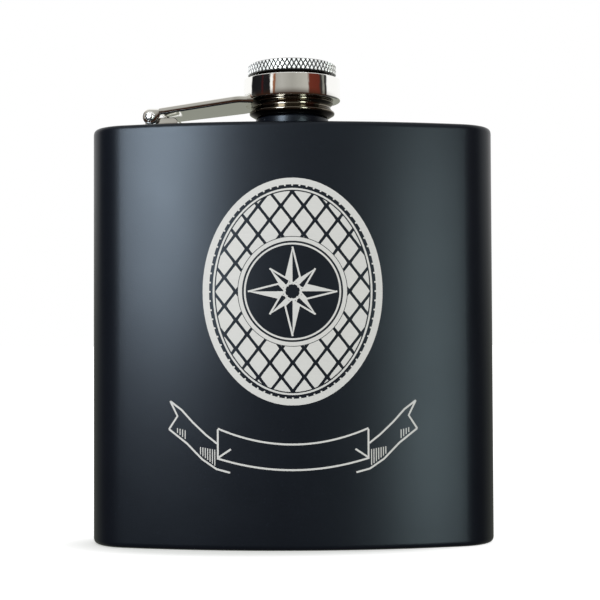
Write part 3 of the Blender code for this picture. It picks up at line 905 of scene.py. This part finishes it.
class FLASK_OT_engraving(bpy.types.Operator):
    """Builds the engraving: a quilted medallion with a star, and a blank ribbon under it"""

    bl_idname = "flask.engraving"
    bl_label = "Engraving"

    def stroke(self, points, width):
        """A flat line of even width through the points, given in millimetres on the drawing."""
        path = [Vector((u, 0, v)) * MM for u, v in points]
        shape = self.shape
        rail = []
        for index, point in enumerate(path):
            before = path[max(index - 1, 0)]
            after = path[min(index + 1, len(path) - 1)]
            along = (after - before).normalized()
            side = Vector((-along.z, 0, along.x)) * width / 2
            rail.append((point - side, point + side))
        low, high = (shape.verts.new(p) for p in rail[0])
        edge = shape.edges.new((low, high))
        for near, far in rail[1:]:
            grown = bmesh.ops.extrude_edge_only(shape, edges=[edge])["geom"]
            edge = next(item for item in grown if isinstance(item, bmesh.types.BMEdge))
            verts = [item for item in grown if isinstance(item, bmesh.types.BMVert)]
            ends = sorted(verts, key=lambda v: (v.co - low.co).length)
            ends[0].co, ends[1].co = near, far
            low = ends[0]

    def line(self, start, end, width):
        steps = max(1, round(math.dist(start, end) / 1.2))
        points = [
            (start[0] + (end[0] - start[0]) * i / steps, start[1] + (end[1] - start[1]) * i / steps)
            for i in range(steps + 1)
        ]
        self.stroke(points, width)

    def oval(self, across, up, width, steps=96):
        turns = [FULL_TURN * i / steps for i in range(steps + 1)]
        self.stroke([(across * math.cos(a), up * math.sin(a)) for a in turns], width)

    def leaf(self, angle, length, width):
        """A filled star petal from near the middle out to its tip."""
        way = Vector((math.cos(angle), math.sin(angle)))
        side = Vector((-way.y, way.x))
        corners = [way * 1.6, way * length * 0.32 + side * width / 2, way * length]
        verts = [self.shape.verts.new((p.x * MM, 0, p.y * MM)) for p in corners]
        self.shape.faces.new(verts)
        corners = [way * 1.6, way * length * 0.32 - side * width / 2, way * length]
        self.stroke([tuple(p) for p in corners], self.thin)

    def dot(self, u, v, radius):
        place = Matrix.Translation((u * MM, 0, v * MM)) @ Matrix.Rotation(math.pi / 2, 4, "X")
        bmesh.ops.create_circle(
            self.shape, cap_ends=True, segments=14, radius=radius * MM, matrix=place
        )

    def quilt(self, across, up, hole, spacing):
        """Raised quilting: diamonds trimmed to an oval band round a hole."""
        steep = 1.25
        tall = spacing * steep
        shape = bmesh.new()
        for row in range(-9, 10):
            for column in range(-9, 10):
                for shift in (0, 0.5):
                    u, v = (column + shift) * spacing, (row + shift) * tall
                    place = Matrix.Translation((u * MM, 0, v * MM))
                    corners = [(0.40, 0), (0.30, 0.12), (0, 0.42), (-0.30, 0.12)]
                    corners += [(-0.40, 0), (-0.30, -0.12), (0, -0.42), (0.30, -0.12)]
                    points = [Vector((c * spacing, 0, d * tall)) * MM for c, d in corners]
                    shape.faces.new([shape.verts.new(place @ point) for point in points])
        self.thicken(shape, 0.4 * MM, 0.2 * MM)
        diamonds = mesh_object("diamonds", shape)
        band = drill(1 * MM, RELIEF, Matrix.Rotation(math.pi / 2, 4, "X"), 128)
        band.data.transform(Matrix.Diagonal((across, 1, up, 1)))
        band.data.transform(Matrix.Translation((0, -RELIEF / 2, 0)))
        cut(band, drill(hole * MM, 2 * MM, Matrix.Rotation(math.pi / 2, 4, "X"), 96))
        return cut(diamonds, band, "INTERSECT")

    def thicken(self, shape, depth, back=0.0):
        """Makes a flat drawing a closed relief, from back to back - depth in y."""
        bmesh.ops.recalc_face_normals(shape, faces=shape.faces)
        for face in shape.faces:
            if face.normal.y > 0:
                face.normal_flip()
        grown = bmesh.ops.extrude_face_region(shape, geom=list(shape.faces), use_keep_orig=True)
        front = [item for item in grown["geom"] if isinstance(item, bmesh.types.BMVert)]
        bmesh.ops.translate(shape, verts=shape.verts, vec=(0, back, 0))
        bmesh.ops.translate(shape, verts=front, vec=(0, -depth, 0))

    def medallion(self):
        self.oval(19.9, 25.2, 1.5 * MM)
        self.oval(18.1, 23.4, self.thin)
        for index in range(72):
            angle = FULL_TURN * index / 72
            self.dot(19.0 * math.cos(angle), 24.3 * math.sin(angle), 0.22)
        self.oval(12.0, 12.0, 0.9 * MM)
        self.oval(10.9, 10.9, self.thin)
        for index in range(8):
            angle = FULL_TURN * index / 8
            long_one = index % 2 == 0
            self.leaf(angle, 10.2 if long_one else 7.4, 3.4 if long_one else 2.6)
        self.oval(1.9, 1.9, 0.5 * MM, 32)

    def ribbon(self):
        """A blank ribbon that dips in the middle, with folded tails."""
        width = self.thin
        span = [-17.2 + 34.4 * i / 32 for i in range(33)]
        top = [(u, -34.8 + 3.6 * (u / 17.2) ** 2) for u in span]
        bottom = [(u, -40.6 + 2.6 * (u / 17.2) ** 2) for u in span]
        self.stroke(top, width)
        self.stroke(bottom, width)
        for side in (-1, 1):
            self.line((side * 17.2, -31.4), (side * 17.2, -38.2), width)
            fold = [(17.2, -37.9), (15.6, -36.8), (14.2, -35.9)]
            self.stroke([(side * u, v) for u, v in fold], width)
            outer = [(17.4, -34.6), (20, -32.6), (23, -29.8), (25.6, -27.0), (28.3, -25.0)]
            lower = [(14.4, -41.2), (17.5, -40.4), (20.8, -38.2), (24.4, -34.6), (28.6, -31.4)]
            self.stroke([(side * u, v) for u, v in outer], width)
            self.stroke([(side * u, v) for u, v in lower], width)
            notch = [(28.3, -25.0), (26.6, -28.4), (28.6, -31.4)]
            self.stroke([(side * u, v) for u, v in notch], width)
            for index in range(7):
                u = 17.9 + index * 0.55
                low = -39.6 + index * 0.42
                self.line((side * u, low), (side * u, low + 3.6 - index * 0.32), 0.22 * MM)
            for index in range(4):
                u = 24.8 + index * 0.6
                low = -33.6 + index * 0.45
                self.line((side * u, low), (side * u, low + 2.0 - index * 0.3), 0.22 * MM)

    def execute(self, context):
        sizes = context.scene.flask_sizes
        plan = BodyPlan(sizes)
        self.thin = sizes.line_width
        self.shape = bmesh.new()
        self.medallion()
        self.ribbon()
        shape = self.shape
        self.thicken(shape, RELIEF)
        quilt = self.quilt(17.6, 22.9, 12.6, 5.2)
        shape.from_mesh(quilt.data)
        bpy.data.objects.remove(quilt)
        for index in range(-20, 21):
            bmesh.ops.bisect_plane(
                shape, geom=[*shape.verts, *shape.edges, *shape.faces],
                plane_co=(index * 1.5 * MM, 0, 0), plane_no=(1, 0, 0), dist=1e-7,
            )
        bmesh.ops.translate(shape, verts=shape.verts, vec=(0, 0, sizes.engraving_height))
        for vert in shape.verts:
            turn = vert.co.x / plan.front_radius
            reach = plan.front_radius - vert.co.y
            vert.co.x = reach * math.sin(turn)
            vert.co.y = plan.centre.y - reach * math.cos(turn)
        bmesh.ops.recalc_face_normals(shape, faces=shape.faces)
        dress(mesh_object("engraved_emblem", shape), "flask", "bare_steel", finish="etched_steel")
        return {"FINISHED"}


class FLASK_OT_stage(bpy.types.Operator):
    """Builds the floor, the studio light and the camera"""

    bl_idname = "flask.stage"
    bl_label = "Stage"

    def floor(self):
        shape = bmesh.new()
        bmesh.ops.create_grid(shape, x_segments=1, y_segments=1, size=6)
        floor = mesh_object("studio_floor", shape)
        material, finish, shader = new_finish("pale_floor")
        tone = finish.noise(3, 2.0)
        finish.feed(
            shader.inputs["Base Color"],
            finish.blend(tone, (0.88, 0.88, 0.88, 1), (0.9, 0.9, 0.9, 1)),
        )
        shader.inputs["Roughness"].default_value = 0.9
        shader.inputs["Specular IOR Level"].default_value = 0.0
        # Emission is lowered in an oval round the flask's base: a painted contact shadow.
        beside = finish.node(
            "ShaderNodeMapping",
            inputs={"Vector": finish.place(), "Location": (0.003, 0, 0), "Scale": (0.4, 1, 0)},
        )
        reach = finish.node("ShaderNodeVectorMath", {"operation": "LENGTH"}, {0: beside}, output=1)
        outside_painted_shadow = finish.between(reach, 0.0145, 0.023)
        finish.feed(
            shader.inputs["Emission Color"], finish.blend(outside_painted_shadow, (0.55, 0.56, 0.54, 1), (1, 1, 1, 1))
        )
        shader.inputs["Emission Strength"].default_value = 0.75
        floor.data.materials.append(material)
        floor.visible_glossy = False
        floor.visible_shadow = False

    def studio(self):
        """A white room for the camera and the floor; what the metal mirrors has dark bands."""
        world = bpy.data.worlds.new("studio")
        bpy.context.scene.world = world
        world.use_nodes = True
        world.node_tree.nodes.clear()
        studio = Finish(world.node_tree)
        way = studio.node("ShaderNodeTexCoord", output="Generated")
        split = studio.node("ShaderNodeSeparateXYZ", inputs={"Vector": way})
        parts = split.socket.node.outputs
        x, y, z = (Value(studio.tree, parts[axis]) for axis in "XYZ")
        ragged = studio.noise(9, 3.0, 0.6, way) - 0.5
        round_about = x.math("ARCTAN2", x, 0 - y) / FULL_TURN + 0.5 + ragged * 0.028
        bands = studio.node(
            "ShaderNodeValToRGB",
            {
                "stops": [
                    (0.0, (1.0, 1.0, 1.0)),
                    (0.186, (1.0, 1.0, 1.0)),
                    (0.195, (0.01, 0.01, 0.012)),
                    (0.285, (0.012, 0.012, 0.014)),
                    (0.293, (0.055, 0.010, 0.010)),
                    (0.303, (0.012, 0.012, 0.014)),
                    (0.351, (0.014, 0.012, 0.012)),
                    (0.358, (1.0, 1.0, 0.98)),
                    (0.369, (1.0, 1.0, 0.98)),
                    (0.375, (0.30, 0.11, 0.045)),
                    (0.388, (0.24, 0.09, 0.045)),
                    (0.394, (0.38, 0.37, 0.34)),
                    (0.43, (0.44, 0.43, 0.40)),
                    (0.50, (0.36, 0.35, 0.32)),
                    (0.605, (0.48, 0.47, 0.43)),
                    (0.618, (0.14, 0.03, 0.018)),
                    (0.688, (0.12, 0.024, 0.015)),
                    (0.698, (0.03, 0.028, 0.025)),
                    (0.710, (0.03, 0.03, 0.028)),
                    (0.718, (0.28, 0.28, 0.25)),
                    (0.729, (0.24, 0.24, 0.21)),
                    (0.736, (0.018, 0.018, 0.018)),
                    (0.747, (0.02, 0.02, 0.02)),
                    (0.757, (1.0, 1.0, 1.0)),
                ]
            },
            {"Fac": round_about},
        )
        behind = studio.between(y, 0.0, 0.4)
        upward = studio.between(z, 0.0, 0.14)
        below = studio.blend(behind, (0.035, 0.016, 0.009, 1), (0.27, 0.28, 0.24, 1))
        overhead = studio.between(z, 0.45, 0.85)
        dimmed = studio.blend(upward, below, bands)
        mirrored = studio.blend(overhead, dimmed, (0.88, 0.88, 0.86, 1))
        rays = studio.node("ShaderNodeLightPath").socket.node.outputs
        glossy = Value(studio.tree, rays["Is Glossy Ray"])
        seen = Value(studio.tree, rays["Is Camera Ray"])
        lit = studio.blend(glossy, (0.6, 0.6, 0.6, 1), mirrored)
        colour = studio.blend(seen, lit, (1.0, 1.0, 1.0, 1))
        background = studio.node("ShaderNodeBackground", inputs={"Color": colour, "Strength": 1.0})
        output = studio.tree.nodes.new("ShaderNodeOutputWorld")
        studio.feed(output.inputs["Surface"], background)

    def lamp(self, name, azimuth, height, distance, size, radiance, colour):
        data = bpy.data.lights.new(name, "AREA")
        data.shape = "RECTANGLE"
        data.size, data.size_y = size
        data.energy = radiance * math.pi * size[0] * size[1]
        data.color = colour
        lamp = bpy.data.objects.new(name, data)
        bpy.context.scene.collection.objects.link(lamp)
        lamp.light_linking.receiver_collection = self.lit
        turn = math.radians(azimuth)
        lamp.location = (distance * math.sin(turn), -distance * math.cos(turn), height)
        away = Vector(lamp.location) - Vector((0, 0, 0.06))
        lamp.visible_camera = False
        lamp.rotation_mode = "QUATERNION"
        lamp.rotation_quaternion = away.to_track_quat("Z", "Y")

    def camera(self):
        data = bpy.data.cameras.new("camera")
        across, distance, height = 1.69 * MM, 310 * MM, 49 * MM
        upward, sideways = math.radians(1.48), math.radians(-0.23)
        data.lens = 81.75
        data.sensor_width = 36.0
        camera = bpy.data.objects.new("camera", data)
        bpy.context.scene.collection.objects.link(camera)
        camera.location = (across, SHOULDER_LOW.y - distance, height)
        tilt = Matrix.Rotation(math.pi / 2 + upward, 4, "X")
        roll = Matrix.Rotation(sideways, 4, "Z")
        camera.rotation_euler = (tilt @ roll).to_euler()
        bpy.context.scene.camera = camera

    def execute(self, context):
        self.floor()
        self.studio()
        self.lit = bpy.data.collections.new("lit_by_softboxes")
        for obj in list(bpy.data.objects):
            if obj.name in LIT_BY_SOFTBOXES:
                self.lit.objects.link(obj)
        self.lamp("left_softbox", -32, 0.25, 0.62, (0.20, 0.38), 27.0, (0.84, 0.92, 1.0))
        self.lamp("right_softbox", 33, 0.03, 0.62, (0.14, 0.40), 10.5, (0.86, 1.0, 0.96))
        self.camera()
        context.scene.view_settings.view_transform = "Standard"
        return {"FINISHED"}


OPERATORS = (
    FLASK_OT_body,
    FLASK_OT_neck,
    FLASK_OT_cap,
    FLASK_OT_arm,
    FLASK_OT_hinge,
    FLASK_OT_engraving,
    FLASK_OT_stage,
)


class FLASK_PT_panel(bpy.types.Panel):
    """Sizes, colours and pieces of the flask"""

    bl_label = "Hip flask"
    bl_idname = "FLASK_PT_panel"
    bl_space_type = "VIEW_3D"
    bl_region_type = "UI"
    bl_category = "Flask"

    def draw(self, context):
        for group in (context.scene.flask_sizes, context.scene.flask_colours):
            for name in group.__annotations__:
                self.layout.prop(group, name)
        for operator in OPERATORS:
            self.layout.operator(operator.bl_idname)


CLASSES = (FlaskSizes, FlaskColours, *OPERATORS, FLASK_PT_panel)


def register():
    for cls in CLASSES:
        bpy.utils.register_class(cls)
    bpy.types.Scene.flask_sizes = bpy.props.PointerProperty(type=FlaskSizes)
    bpy.types.Scene.flask_colours = bpy.props.PointerProperty(type=FlaskColours)


def unregister():
    del bpy.types.Scene.flask_colours
    del bpy.types.Scene.flask_sizes
    for cls in reversed(CLASSES):
        bpy.utils.unregister_class(cls)


def main():
    register()
    for operator in OPERATORS:
        group, name = operator.bl_idname.split(".")
        getattr(getattr(bpy.ops, group), name)()


if __name__ == "__main__":
    main()
